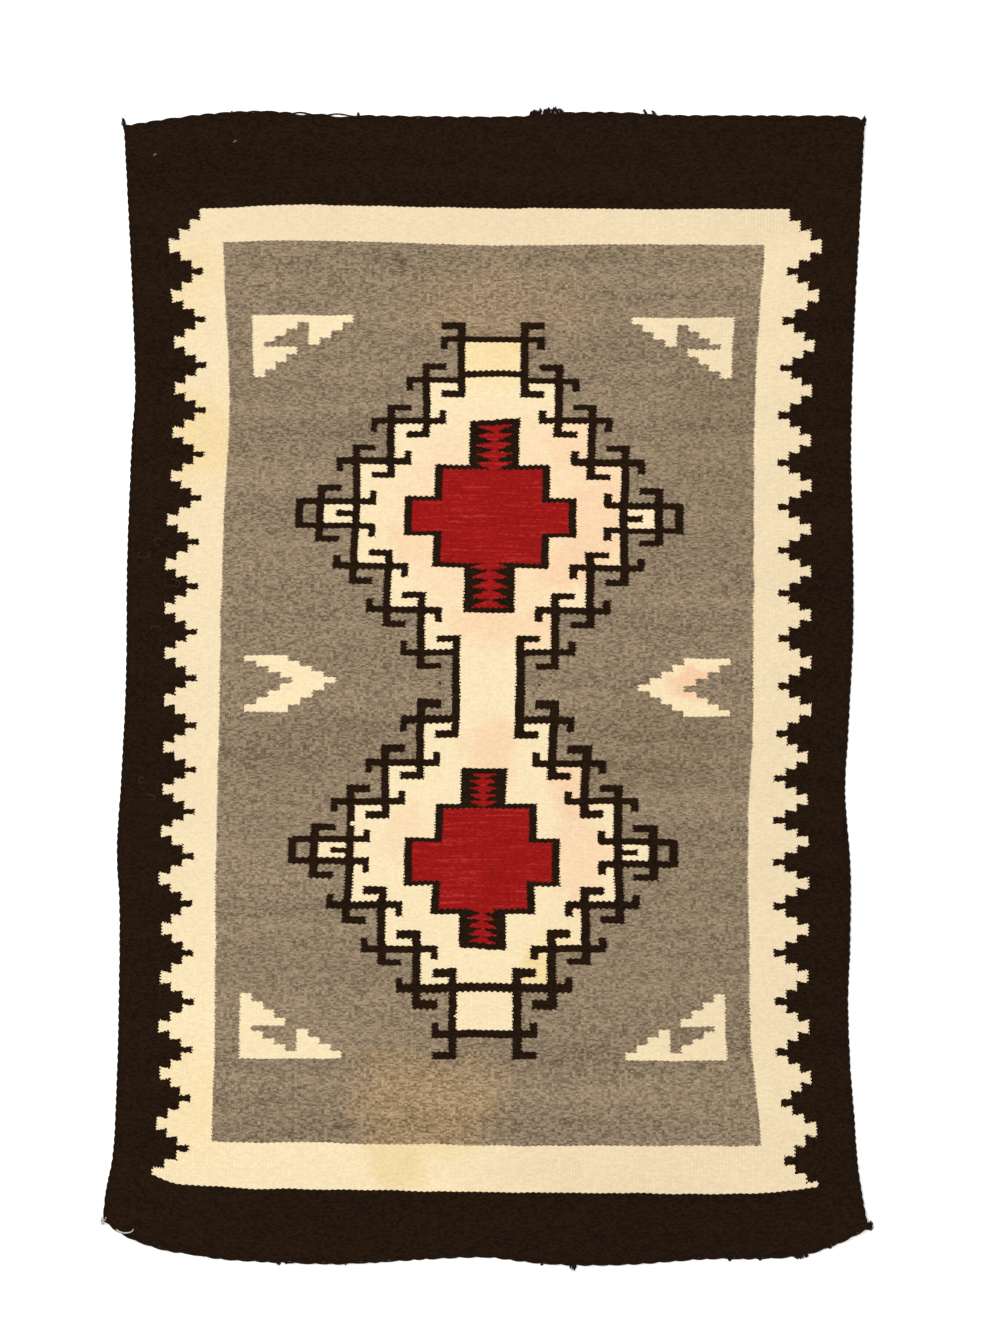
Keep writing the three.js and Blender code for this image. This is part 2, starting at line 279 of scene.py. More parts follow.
def rug_point(s, t, depth):
    """The point at shares s across and t along, on an outline that lies `depth` inside the edge."""
    s, t = np.asarray(s, float), np.asarray(t, float)
    x, y = np.zeros_like(s), np.zeros_like(t)
    for _ in range(8):  # each edge bends with the other coordinate, so the two settle together
        left, right = inset_edge(LEFT_EDGE, y, depth), inset_edge(RIGHT_EDGE, y, depth)
        x = left + (right - left) * s
        bottom, top = inset_edge(BOTTOM_EDGE, x, depth), inset_edge(TOP_EDGE, x, depth)
        y = bottom + (top - bottom) * t
    return x, y


def soft_bump(share):
    return np.where(share < 1, (1 - np.minimum(share, 1) ** 2) ** 2, 0)


def ripple_height(x, y):
    """Height of the rug's underside over the floor."""
    return sum(
        height * soft_bump(np.hypot(x - middle_x, y - middle_y) / reach)
        for middle_x, middle_y, reach, height in RIPPLES
    )


def smooth_step(value, start, end):
    share = np.clip((value - start) / (end - start), 0, 1)
    return share * share * (3 - 2 * share)


# Woven cloth: its mesh
WARP_STEPS = 2 * 2 * HALF_WARPS  # two columns of faces a warp
ROW_STEPS = 176
ROLLED_ROWS = (0, 1.2, 2.6, 4.4, 7)  # grid lines near each end, where the cloth rolls down
BACK_STRIDE = {"across": 8, "along": 2}
RIB_HEIGHT = 0.3
ROLL_REACH = 3.2
ROLL_DEPTH = 1.5
# Unevenness of the face's height in millimetres, and of where its rows and warps lie, counted in them: each
# wave's size, the reach over which it changes, and its seed
FACE_WAVES = ((0.3, 70, 3.1), (0.22, 24, 7.7))
ROW_WAVES = ((0.7, 45, 1.3), (0.3, 18, 9.2))
WARP_WAVES = ((0.35, 40, 5.9),)


def row_shares():
    """The grid lines' shares along the rug, crowded at its two ends."""
    start = np.array(ROLLED_ROWS) / (cad_box[1].y - cad_box[0].y) * MM
    middle = np.linspace(start[-1], 1 - start[-1], ROW_STEPS + 1 - 2 * (len(start) - 1))
    return np.concatenate((start[:-1], middle, 1 - start[:-1][::-1]))


def warp_places(warps, y):
    """Where each warp of the grid runs: x for each grid point, whose warps lie in columns."""
    lines = [(-HALF_WARPS, inset_edge(LEFT_EDGE, y, CLOTH_DEPTH))]
    lines += [(warp, np.interp(y, *line)) for warp, line in WARP_LINES.items()]
    lines += [(HALF_WARPS, inset_edge(RIGHT_EDGE, y, CLOTH_DEPTH))]
    x = np.empty_like(y)
    for (warp_a, x_a), (warp_b, x_b) in zip(lines, lines[1:]):
        inside = (warps >= warp_a) & (warps <= warp_b)
        share = (warps - warp_a) / (warp_b - warp_a)
        x[inside] = (x_a + (x_b - x_a) * share)[inside]
    return x


def cloth_grid():
    """Arrays of x, y and warp count at the grid points, rows of the grid first."""
    warps, shares = np.meshgrid(np.linspace(-HALF_WARPS, HALF_WARPS, WARP_STEPS + 1), row_shares())
    x, y = warps * WARP_PITCH, (shares - 0.5) * MEAN_LENGTH
    for _ in range(10):  # until x and y have settled
        x = warp_places(warps, y)
        bottom = inset_edge(BOTTOM_EDGE, x, CLOTH_DEPTH)
        top = inset_edge(TOP_EDGE, x, CLOTH_DEPTH)
        y = bottom + (top - bottom) * shares
    return x, y, warps


def row_counts(x, y):
    """The row of beads that runs through each point."""
    counts = {}
    for side in ROW_PLACES_X:
        places = np.array((-FAR, *ROW_PLACES[side], FAR))
        ends = (FAR + ROW_PLACES[side][0]) / ROW_LENGTH, (FAR - ROW_PLACES[side][-1]) / ROW_LENGTH
        rows = np.array((-BAND_ROWS - ends[0], *ROW_PLACES["row"], BAND_ROWS + ends[1]))
        counts[side] = np.interp(y, places, rows)
    across = list(ROW_PLACES_X.values())
    to_middle = np.clip((x - across[0]) / (across[1] - across[0]), 0, 1)
    to_right = np.clip((x - across[1]) / (across[2] - across[1]), 0, 1)
    left_part = counts["left"] + (counts["middle"] - counts["left"]) * to_middle
    rows = left_part + (counts["right"] - counts["middle"]) * to_right
    for side, end, start, full, more_rows in BAND_CORNERS:
        lift = smooth_step(x * side, start, full)
        rows = rows + more_rows * lift * smooth_step(y * end, *CORNER_STRETCH)
    return rows


def tooth_counts(x, y):
    """The tooth of the border at each point: whole at a tip, and held beyond the first and last."""
    sides = []
    for teeth in (LEFT_TEETH, RIGHT_TEETH):
        above = -(FAR - teeth["y"][-1]) / END_TOOTH_LENGTH
        counts = np.interp(y, (*teeth["y"], FAR), (*teeth["tooth"], above))
        sides.append(np.maximum(counts, TOP_COUNT))
    return np.where(x < 0, sides[0], sides[1])


def wander(x, y, waves):
    """A smooth unevenness at each point: the sum of its waves."""
    total = np.zeros_like(x)
    for size, reach, seed in waves:
        flat = zip(x.ravel() / reach, y.ravel() / reach)
        wave = np.array([noise.noise(Vector((a, b, seed))) for a, b in flat])
        total += size * wave.reshape(x.shape)
    return total


def edge_distance(x, y):
    """Distance from the cloth's nearest edge, inside the cloth."""
    return np.minimum.reduce([
        x - inset_edge(LEFT_EDGE, y, CLOTH_DEPTH),
        inset_edge(RIGHT_EDGE, y, CLOTH_DEPTH) - x,
        y - inset_edge(BOTTOM_EDGE, x, CLOTH_DEPTH),
        inset_edge(TOP_EDGE, x, CLOTH_DEPTH) - y,
    ])


def top_height(x, y, warps):
    """Height of the cloth's face: warp ribs, a little unevenness, and the roll at the edges."""
    rib = RIB_HEIGHT * (np.abs(warps - np.round(warps)) - 0.25) * 2
    rolled = np.exp(-np.maximum(edge_distance(x, y), 0) / ROLL_REACH)
    uneven = wander(x, y, FACE_WAVES) + rib * (1 - rolled) - ROLL_DEPTH * rolled
    return ripple_height(x, y) + CLOTH_THICKNESS + uneven


def rim_faces(top, back):
    """Faces between the face's border points and the back's, all the way round."""
    sides = (
        (top[0, :], back[0, :], BACK_STRIDE["across"]),
        (top[:, -1], back[:, -1], BACK_STRIDE["along"]),
        (top[-1, ::-1], back[-1, ::-1], BACK_STRIDE["across"]),
        (top[::-1, 0], back[::-1, 0], BACK_STRIDE["along"]),
    )
    for upper, lower, stride in sides:
        for i in range(len(lower) - 1):
            above = upper[i * stride:(i + 1) * stride + 1]
            yield [lower[i], lower[i + 1], *above[::-1]]


def grid_faces(index):
    """The four-sided faces of a grid of point numbers, facing up."""
    corners = (index[:-1, :-1], index[:-1, 1:], index[1:, 1:], index[1:, :-1])
    return np.stack([c.ravel() for c in corners], axis=1)


def add_values(mesh, name, values):
    attribute = mesh.attributes.new(name, "FLOAT", "POINT")
    attribute.data.foreach_set("value", np.asarray(values, np.float32).ravel())


def add_object(name, data):
    item = bpy.data.objects.new(name, data)
    bpy.context.scene.collection.objects.link(item)
    return item


def show_mesh(name, points, faces, material):
    """A mesh of these points in millimetres, as a smooth object at the origin."""
    mesh = bpy.data.meshes.new(name)
    mesh.from_pydata((np.asarray(points) * MM).tolist(), [], [list(map(int, f)) for f in faces])
    mesh.validate()
    mesh.shade_smooth()
    mesh.materials.append(material)
    return add_object(name, mesh)


def attach(piece, node=None):
    """Rides a piece on the rug's body, in place of its solid where it has one."""
    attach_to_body(piece, BODY)
    if node:
        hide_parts(node)
    return piece


def cloth_mesh(x, y, warps, pick, material):
    """The cloth's closed mesh: its face, a coarser back of the points that `pick` takes, and its rim."""
    top = np.arange(x.size).reshape(x.shape)
    back_x, back_y = x[pick], y[pick]
    back = np.arange(back_x.size).reshape(back_x.shape) + x.size
    face_points = np.stack((x, y, top_height(x, y, warps)), axis=-1).reshape(-1, 3)
    back_points = np.stack((back_x, back_y, ripple_height(back_x, back_y)), axis=-1).reshape(-1, 3)
    faces = [*grid_faces(top), *(f[::-1] for f in grid_faces(back)), *rim_faces(top, back)]
    return show_mesh("woven_cloth", np.concatenate((face_points, back_points)), faces, material)


def make_cloth(material):
    """The woven cloth, with the warp, row and tooth at each point for its pattern."""
    x, y, warps = cloth_grid()
    pick = (slice(None, None, BACK_STRIDE["along"]), slice(None, None, BACK_STRIDE["across"]))
    cloth = cloth_mesh(x, y, warps, pick, material)
    counts = {
        "warp": warps + wander(x, y, WARP_WAVES),
        "row": row_counts(x, y) + wander(x, y, ROW_WAVES),
        "tooth": tooth_counts(x, y),
    }
    for name, values in counts.items():
        add_values(cloth.data, name, np.concatenate((values.ravel(), values[pick].ravel())))
    return attach(cloth, "woven_body")


# Shader numbers
class Num:
    """A number inside a material. The usual operators on it add math nodes."""

    def __init__(self, tree, socket):
        self.tree = tree
        self.socket = socket

    def do(self, operation, *others):
        return do_math(self.tree, operation, self, *others)

    __add__ = __radd__ = partialmethod(do, "ADD")
    __sub__ = partialmethod(do, "SUBTRACT")
    __mul__ = __rmul__ = __and__ = partialmethod(do, "MULTIPLY")
    __truediv__ = partialmethod(do, "DIVIDE")
    __pow__ = partialmethod(do, "POWER")
    __abs__ = partialmethod(do, "ABSOLUTE")
    __gt__ = partialmethod(do, "GREATER_THAN")
    __lt__ = partialmethod(do, "LESS_THAN")
    __or__ = partialmethod(do, "MAXIMUM")
    at_least = partialmethod(do, "MAXIMUM")
    at_most = partialmethod(do, "MINIMUM")
    floor = partialmethod(do, "FLOOR")
    ceil = partialmethod(do, "CEIL")
    fract = partialmethod(do, "FRACT")

    def __rsub__(self, other):
        return do_math(self.tree, "SUBTRACT", other, self)

    def __invert__(self):
        return 1 - self

    def near(self, middle, reach):
        """1 where the number is within `reach` of `middle`, else 0."""
        return self.do("COMPARE", middle, reach)

    def nearest(self, lowest, highest):
        """The nearest whole number from `lowest` to `highest`."""
        return self.do("ROUND").at_least(lowest).at_most(highest)


def do_math(tree, operation, *values):
    node = tree.nodes.new("ShaderNodeMath")
    node.operation = operation
    connect(tree, node, values)
    return Num(tree, node.outputs[0])


def feed(tree, place, value):
    """Links or sets one input of a node, or leaves it as it is."""
    value = getattr(value, "socket", value)
    if isinstance(value, bpy.types.NodeSocket):
        tree.links.new(value, place)
    elif value is not None:
        place.default_value = value


def connect(tree, node, values):
    for place, value in zip(node.inputs, values):
        feed(tree, place, value)


def attribute(tree, name, output):
    node = tree.nodes.new("ShaderNodeAttribute")
    node.attribute_name = name
    return node.outputs[output]


def combine(tree, x, y, z=0.0):
    node = tree.nodes.new("ShaderNodeCombineXYZ")
    connect(tree, node, (x, y, z))
    return node.outputs[0]


def vector_math(tree, operation, *values, output=0):
    node = tree.nodes.new("ShaderNodeVectorMath")
    node.operation = operation
    connect(tree, node, values)
    return node.outputs[output]


def scaled(tree, color, strength):
    return vector_math(tree, "SCALE", color, None, None, strength)


def set_inputs(node, values):
    for name, value in values.items():
        node.inputs[name].default_value = value


def new_material(name, look):
    """A new material, its node tree, and its shader with the inputs that `look` names."""
    material = bpy.data.materials.new(name)
    material.use_nodes = True
    shader = material.node_tree.nodes["Principled BSDF"]
    set_inputs(shader, look)
    return material, material.node_tree, shader


def noise_node(tree, vector, scale=1.0, detail=2.0, roughness=0.5):
    node = tree.nodes.new("ShaderNodeTexNoise")
    tree.links.new(vector, node.inputs["Vector"])
    set_inputs(node, {"Scale": scale, "Detail": detail, "Roughness": roughness})
    return node


def soft_noise(tree, vector, **look):
    """Smooth noise around 0, mostly within -0.5 to 0.5."""
    return Num(tree, noise_node(tree, vector, **look).outputs["Fac"]) - 0.5


def bead_noise(tree, vector):
    """Another even chance from -0.5 to 0.5 for each whole-numbered vector."""
    node = tree.nodes.new("ShaderNodeTexWhiteNoise")
    node.noise_dimensions = "3D"
    tree.links.new(vector, node.inputs["Vector"])
    return Num(tree, node.outputs["Value"]) - 0.5


def tinted(tree, levels, strength):
    """A wool colour made lighter or darker by a number around 1."""
    return scaled(tree, linear(levels), strength)


def mixed(tree, share, first, second, blend="MIX"):
    """Two colours mixed by a share. The second may be a plain albedo."""
    node = tree.nodes.new("ShaderNodeMix")
    node.data_type = "RGBA"
    node.blend_type = blend
    if isinstance(second, tuple):
        second = (*second, 1)
    for place, value in ((0, share), (6, first), (7, second)):
        feed(tree, node.inputs[place], value)
    return node.outputs[2]


# The pattern's figures. Each gives 1 where its wool shows, else 0, from the warps `u` counted out from
# the middle line and the rows.
def pale_border(warp, tooth):
    """The pale border with its serrated sides: each of a tooth's steps widens a little outwards."""
    left = warp < 0
    tip_share = 0.113
    step_share = left * 0.005 + 0.156
    flare, flare_step = 0.042, 0.012
    skew = left * tooth.near(11, 3) * 0.018  # some teeth at the left lean down
    column = (TOOTH_TIP - abs(warp)) / TOOTH_STEP
    step = column.floor()
    leaning = tooth - step * skew
    from_tip = abs((leaning + 0.5).fract() - 0.5)
    past_ends = abs(leaning - LAST_TOOTH / 2) - LAST_TOOTH / 2
    widening = (0.5 - column.fract()) * (flare - step * flare_step)
    reach = step * step_share + widening + tip_share
    return (from_tip.at_least(past_ends) < reach) & (column > 0)


def corner_steps(u, row):
    """The notched stair triangle in each corner of the field."""
    outer_warp, outer_row = 82.5, 251
    step_warps, step_rows, steps = 3.8, 5, 9
    column = (outer_warp - u) / step_warps
    down = outer_row - abs(row)
    past_notch = (down > 20) * 3.3
    reach = steps - ((down + past_notch) / step_rows).floor()
    notch_start, notch_end, notch_columns = 4.9, 21.6, 5
    notch_step, notch_reach = 4.2, 4
    inner = notch_reach - ((down - 5.6) / notch_step).floor().at_least(0)
    notch = (down > notch_start) & (down < notch_end) & (column > inner) & (column < notch_columns)
    return (column > 0) & (down > 0) & (column < reach) & ~notch


def chevron(warp, row):
    """The stepped arrowhead on each side, between the two diamonds. The right one is the stouter."""
    right = warp > 0
    u = abs(warp)
    v = abs(row - 0.9 + right * 0.9)
    tip = 52.3 - right * 0.8
    thickness = right * 1.4 + 14.6
    arm_end, half_height = 83.2, 17.9
    step_rows, step_warps, tip_rows = 4.0, 3.95, 1.9
    level = ((v - tip_rows) / step_rows).ceil().at_least(0)
    outer = tip + level * step_warps
    return (u > outer) & (u < outer + thickness) & (u < arm_end) & (v < half_height)


def post_middle(k):
    return BEAM_FIRST + BEAM_PITCH * (3.5 - k)


def diamond_fill(u, a):
    """The pale ground inside the diamonds and their neck: it narrows by a post with each beam."""
    level = ((a - BEAM_FIRST) / BEAM_PITCH).ceil().at_least(0)
    return u < LAST_POST - level * POST_PITCH


def line_widths(warp, along, lower):
    """Half the width of a post and half the height of a beam and of a hook, in warps and rows.

    The right half's posts are the wider, and the lower diamond's bars the higher, most so near its foot.
    """
    post = POST_HALF_WIDTH + (warp > 0) * 0.17 + lower * 0.08
    near_foot = (1.6 - abs(along - FOOT_ROW) / FOOT_REACH).at_least(0).at_most(1) * lower
    beam = BEAM_HALF_HEIGHT + lower * 0.3 + near_foot * 0.35
    return post, beam, beam + lower * 0.1 + near_foot * 0.6


def post_lines(u, a, post, foot):
    """Posts along the rug, from the one by the middle line to the outermost, and the side box's end."""
    k = ((u - POST_FIRST) / POST_PITCH).nearest(0, 4)
    first = k < 1
    middle = post_middle(k) + first * foot * (FOOT_EXTRA - FOOT_START) / 2
    half_length = POST_HALF_LENGTH + first * foot * (FOOT_EXTRA + FOOT_START) / 2
    posts = u.near(POST_FIRST + k * POST_PITCH, post) & a.near(middle, half_length)
    box_end = u.near(BEAM_MIDDLE + BEAM_HALF_LENGTH, post) & (a < BOX_HALF_HEIGHT)
    return posts | box_end


def post_hooks(u, a, hook, foot):
    """The bar at each post's end: towards the middle line outside, away from it inside."""
    half = HOOK_LENGTH / 2
    shift = half - POST_HALF_WIDTH
    end = POST_HALF_LENGTH - BEAM_HALF_HEIGHT
    k = ((u - POST_FIRST + shift) / POST_PITCH).nearest(1, 4)
    outer_end = post_middle(k) + end + (k < 2) * foot * 0.9
    outside = u.near(POST_FIRST - shift + k * POST_PITCH, half) & a.near(outer_end, hook - foot * 0.3)
    k = ((u - POST_FIRST - shift) / POST_PITCH).nearest(0, 2)
    inner_end = post_middle(k) - end - (k < 1) * foot * FOOT_START / 2
    inside = u.near(POST_FIRST + shift + k * POST_PITCH, half) & a.near(inner_end, hook)
    last = u.near(POST_FIRST + shift, half) & a.near(post_middle(0) + end + foot * FOOT_EXTRA, hook)
    return outside | inside | last


def beam_lines(u, a, beam, lower, outside):
    """Beams across the rug, each over two posts, and the small capped bar in each side corner."""
    m = ((a - BEAM_FIRST) / BEAM_PITCH).nearest(0, 4)
    beams = u.near(BEAM_MIDDLE - m * POST_PITCH, BEAM_HALF_LENGTH)
    beams = beams & a.near(BEAM_FIRST + m * BEAM_PITCH, beam)
    # Only the last beam runs on between the two middle posts
    beams = beams & ((u > POST_FIRST - 1) | (m > 3))
    tip_beam = TIP_BEAM - lower * (TIP_BEAM - LOWER_TIP_BEAM)
    between_posts = (u < POST_FIRST) & a.near(tip_beam, beam) & outside
    bar = u.near(50.2, 3.3) & (a < 1.9)
    bar_cap = u.near(52.9, 0.8) & (a < 2.3)
    return beams | between_posts | bar | bar_cap


def beam_barbs(warp, u, a):
    """The short barb at each beam's end: towards the diamond's middle outside, away from it inside."""
    half = shift = BARB_REACH / 2
    wide = BARB_HALF_WIDTH + (warp > 0) * 0.2
    end = BEAM_HALF_LENGTH - BARB_HALF_WIDTH
    m = ((a - BEAM_FIRST + shift) / BEAM_PITCH).nearest(1, 4)
    outside = a.near(BEAM_FIRST - shift + m * BEAM_PITCH, half)
    outside = outside & u.near(BEAM_MIDDLE + end - m * POST_PITCH, wide)
    m = ((a - BEAM_FIRST - shift) / BEAM_PITCH).nearest(0, 2)
    inside = a.near(BEAM_FIRST + shift + m * BEAM_PITCH, half)
    inside = inside & u.near(BEAM_MIDDLE - end - m * POST_PITCH, wide)
    return outside | inside


def cross_darts(u, from_start, length, lower):
    """The red darts in a cross's column: each widens outwards, and the last one stops at its widest."""
    share = from_start / length * (DARTS - 1 + DART_WIDEST)
    part = share.fract()
    narrow = (part / DART_WIDEST).at_most((1 - part) / (1 - DART_WIDEST))
    dart = u < narrow * (6.2 - lower * 1.6) + 0.25
    return dart & (share > 0) & (share < DARTS - 1 + DART_WIDEST)


def cross_figures(warp, along, lower):
    """The crosses: the whole figure, and the red part inside its dark outline. The lower is the stouter."""
    outwards = along > 0
    from_middle = warp + lower * 0.7
    u = abs(from_middle)
    u_column = abs(from_middle - outwards * ~lower * 0.8)
    u_body = abs(from_middle - 0.4 - (along < 0) * lower * 0.8)
    column, reach = 8.8 - lower * 0.8, 65.8 - lower * 2.9
    body, height = 20.3 - lower * 2.4, 35.7 + lower * 2.6
    arm, arm_height = 30.2 - lower * 3, 13.4 + lower * 3.4
    slant = outwards * 0.12  # of the outer half of the column
    from_column = abs(along - warp * slant + 0.7 - lower * 2.6)
    from_body = abs(along + 1.2 - lower * 4.8)
    from_arms = abs(along + 1.1 - lower * 8.0)
    whole = (u_column < column) & (from_column < reach)
    whole = whole | (u_body < body) & (from_body < height) | (u < arm) & (from_arms < arm_height)
    inner = (u_body < body - CROSS_SIDE) & (from_body < height - CROSS_CAP)
    inner = inner | (u < arm - CROSS_SIDE) & (from_arms < arm_height - CROSS_ARM_CAP)
    start = height - CROSS_CAP - 1
    darts = cross_darts(u_column, from_column - start, reach - height + 0.2, lower)
    return whole, inner | darts


# Marks on the wool: dye that has bled, yellowed wool, a spill and soot. Each is an oval: x and y of its
# middle, half its width, half its length, and its strength.
PINK_MARKS = (
    (6, 235, 190, 175, 0.3),
    (145, 225, 60, 105, 0.55),
    (120, 330, 60, 55, 0.45),
    (110, 170, 60, 45, 0.6),
    (-100, 195, 45, 50, 0.45),
    (5, 95, 70, 45, 0.5),
    (70, 80, 30, 45, 0.45),
    (5, -80, 50, 55, 0.5),
    (120, -135, 40, 60, 0.6),
    (125, -225, 50, 70, 0.45),
    (130, -270, 22, 45, 0.45),
    (-110, -190, 40, 60, 0.25),
    (278, 6, 42, 30, 0.8),
)
YELLOW_MARKS = (
    (-385, 345, 60, 85, 0.7),
    (-400, 560, 60, 60, 0.4),
    (5, 450, 60, 50, 0.7),
    (68, -372, 30, 36, 1.0),
    (90, -340, 24, 24, 0.6),
    (-390, -560, 60, 90, 0.3),
)
SPILL_MARKS = (
    (-85, -565, 120, 80, 1.0),
    (-110, -520, 80, 50, 0.8),
    (-30, -530, 70, 50, 0.7),
    (-122, -625, 52, 60, 0.9),
    (15, 520, 150, 70, 0.45),
)
# Broad patches, mostly over the pale band's outer parts, where the pale wool is made a little darker and
# cooler
DULL_MARKS = (
    (425, 20, 130, 900, 0.8),
    (0, 640, 900, 75, 1),
    (-420, 250, 140, 700, 0.65),
    (290, -640, 380, 80, 0.8),
    (-320, 470, 140, 90, 0.5),
    (320, 470, 140, 90, 0.75),
    (320, -460, 140, 90, 0.65),
)
SHADE_MARKS = (
    (330, 330, 120, 160, 0.8),
    (230, -70, 130, 90, 1),
    (-230, -90, 120, 70, 0.4),
)
STRAY_PALE = (
    (-181, -180, 5, 3.4, 1),
    (-43, -440, 2.2, 1.4, 0.8),
)
SOOT_MARKS = (
    (-140, 584, 14, 9, 0.8),
    (-118, 578, 9, 12, 0.7),
)
MARK_EDGE = 0.45  # share of a mark's radius over which it fades out
MARK_SHAKE = 70  # over which its outline is shifted to and fro
PINK_TINT = (0.985, 0.74, 0.74)
YELLOW_TINT = (0.99, 0.93, 0.72)
SPILL_ON_PALE = (0.93, 0.89, 0.76)
SPILL_ON_GREY = (1.34, 1.24, 1.06)
SOOT_TINT = (0.6, 0.58, 0.56)
DULL_TINT = (0.905, 0.9, 0.935)
SHADE_TINT = (0.89, 0.89, 0.86)
PALE_STAINS = (
    (PINK_MARKS, PINK_TINT),
    (YELLOW_MARKS, YELLOW_TINT),
    (SPILL_MARKS, SPILL_ON_PALE),
    (DULL_MARKS, DULL_TINT),
)
GREY_STAINS = (
    (SHADE_MARKS, SHADE_TINT),
    (SPILL_MARKS, SPILL_ON_GREY),
    (SOOT_MARKS, SOOT_TINT),
)


def marks(tree, place, table):
    """How strongly any mark of a table covers a place given in millimetres."""
    total = None
    for x, y, wide, long, strength in table:
        shifted = vector_math(tree, "SUBTRACT", place, (x, y, 0))
        squeezed = vector_math(tree, "MULTIPLY", shifted, (1 / wide, 1 / long, 0))
        reach = Num(tree, vector_math(tree, "LENGTH", squeezed, output=1))
        cover = ((1 - reach) / MARK_EDGE).at_least(0).at_most(1) * strength
        total = cover if total is None else total | cover
    return total


def stained(tree, wool, place, stains):
    """A wool with each tint over it where the marks of its table lie."""
    for table, tint in stains:
        wool = mixed(tree, marks(tree, place, table), wool, tint, "MULTIPLY")
    return wool


def place_on_rug(tree):
    """The place in millimetres, as it is and shifted a little so that marks have uneven edges."""
    coordinates = tree.nodes.new("ShaderNodeTexCoord").outputs["Object"]
    flat = vector_math(tree, "MULTIPLY", coordinates, (1 / MM, 1 / MM, 0))
    shake = noise_node(tree, flat, scale=0.03, detail=4)
    centred = vector_math(tree, "SUBTRACT", shake.outputs["Color"], (0.5, 0.5, 0.5))
    return flat, vector_math(tree, "ADD", flat, scaled(tree, centred, MARK_SHAKE))


WOOL_LOOK = {
    "Roughness": 0.95,
    "Specular IOR Level": 0.04,
    "Sheen Weight": 0.02,
    "Sheen Roughness": 0.6,
}


def add_bump(tree, shader, height, strength, distance):
    bump = tree.nodes.new("ShaderNodeBump")
    set_inputs(bump, {"Strength": strength, "Distance": distance * MM})
    tree.links.new(height.socket, bump.inputs["Height"])
    tree.links.new(bump.outputs["Normal"], shader.inputs["Normal"])


def woven_masks(warp, row, tooth):
    """Where each wool shows: pale, dark and red. The rest is grey."""
    u = abs(warp)
    along = abs(row) - DIAMOND_ROW
    a = abs(along)
    lower = row < 0
    in_field = (u < FIELD_WARPS) & (abs(row) < FIELD_ROWS)
    in_border = pale_border(warp, tooth) & (abs(row) < BAND_ROWS)
    pale = in_border & ~in_field | diamond_fill(u, a) | corner_steps(u, row) | chevron(warp, row)
    outside = along > 0
    foot = lower & outside
    post, beam, hook = line_widths(warp, along, lower)
    lines = post_lines(u, a, post, foot) | post_hooks(u, a, hook, foot)
    lines = lines | beam_lines(u, a, beam, lower, outside) | beam_barbs(warp, u, a)
    whole_cross, red = cross_figures(warp, along, lower)
    return pale, ~in_border | lines | whole_cross, red


def woven_wools(tree, warp, row, bead):
    """The grey, pale, dark and red wool, each with its yarn's own unevenness."""

    def unevenness(across, along, seed, **look):
        return soft_noise(tree, combine(tree, warp * across, row * along, seed), **look)

    streak = unevenness(0.3, 0.8, 0.0, detail=4, roughness=0.75)
    fleck = unevenness(2.3, 2.3, 5.0, detail=3, roughness=0.8)
    band = unevenness(0.006, 0.05, 0.0, detail=3)
    pick_line = unevenness(0.05, 0.62, 3.0)
    cloud = unevenness(0.03, 0.02, 9.0)
    heather = bead * 0.8 + streak * 1.3 + fleck * 4.2 + band * 0.7 + cloud * 0.1 + 1
    grey = tinted(tree, GREY_WOOL, heather)
    pale = tinted(tree, CREAM_WOOL, bead * 0.1 + streak * 0.3 + fleck * 0.3 + cloud * 0.1 + 1)
    dark = tinted(tree, DARK_WOOL, bead * 0.8 + streak * 0.9 + fleck * 2.0 + band * 0.6 + 1)
    red = tinted(tree, RED_WOOL, bead * 0.3 + streak * 0.4 + fleck * 0.7 + pick_line * 0.6 + 1)
    light_pick = (pick_line * 5 + bead + fleck * 1.5 - 0.4).at_least(0).at_most(1)
    return grey, pale, dark, mixed(tree, light_pick * 0.55, red, linear(LIGHT_RED))


def woven_color(tree, masks, wools):
    """The wools, marked as the rug's are, laid over each other where each one shows."""
    pale, dark, red = masks
    grey_wool, pale_wool, dark_wool, red_wool = wools
    place, moved = place_on_rug(tree)
    grey_wool = stained(tree, grey_wool, moved, GREY_STAINS)
    pale_wool = stained(tree, pale_wool, moved, PALE_STAINS)
    color = mixed(tree, pale, grey_wool, pale_wool)
    color = mixed(tree, dark & ~(marks(tree, place, STRAY_PALE) > 0.3), color, dark_wool)
    return mixed(tree, red, color, red_wool), place


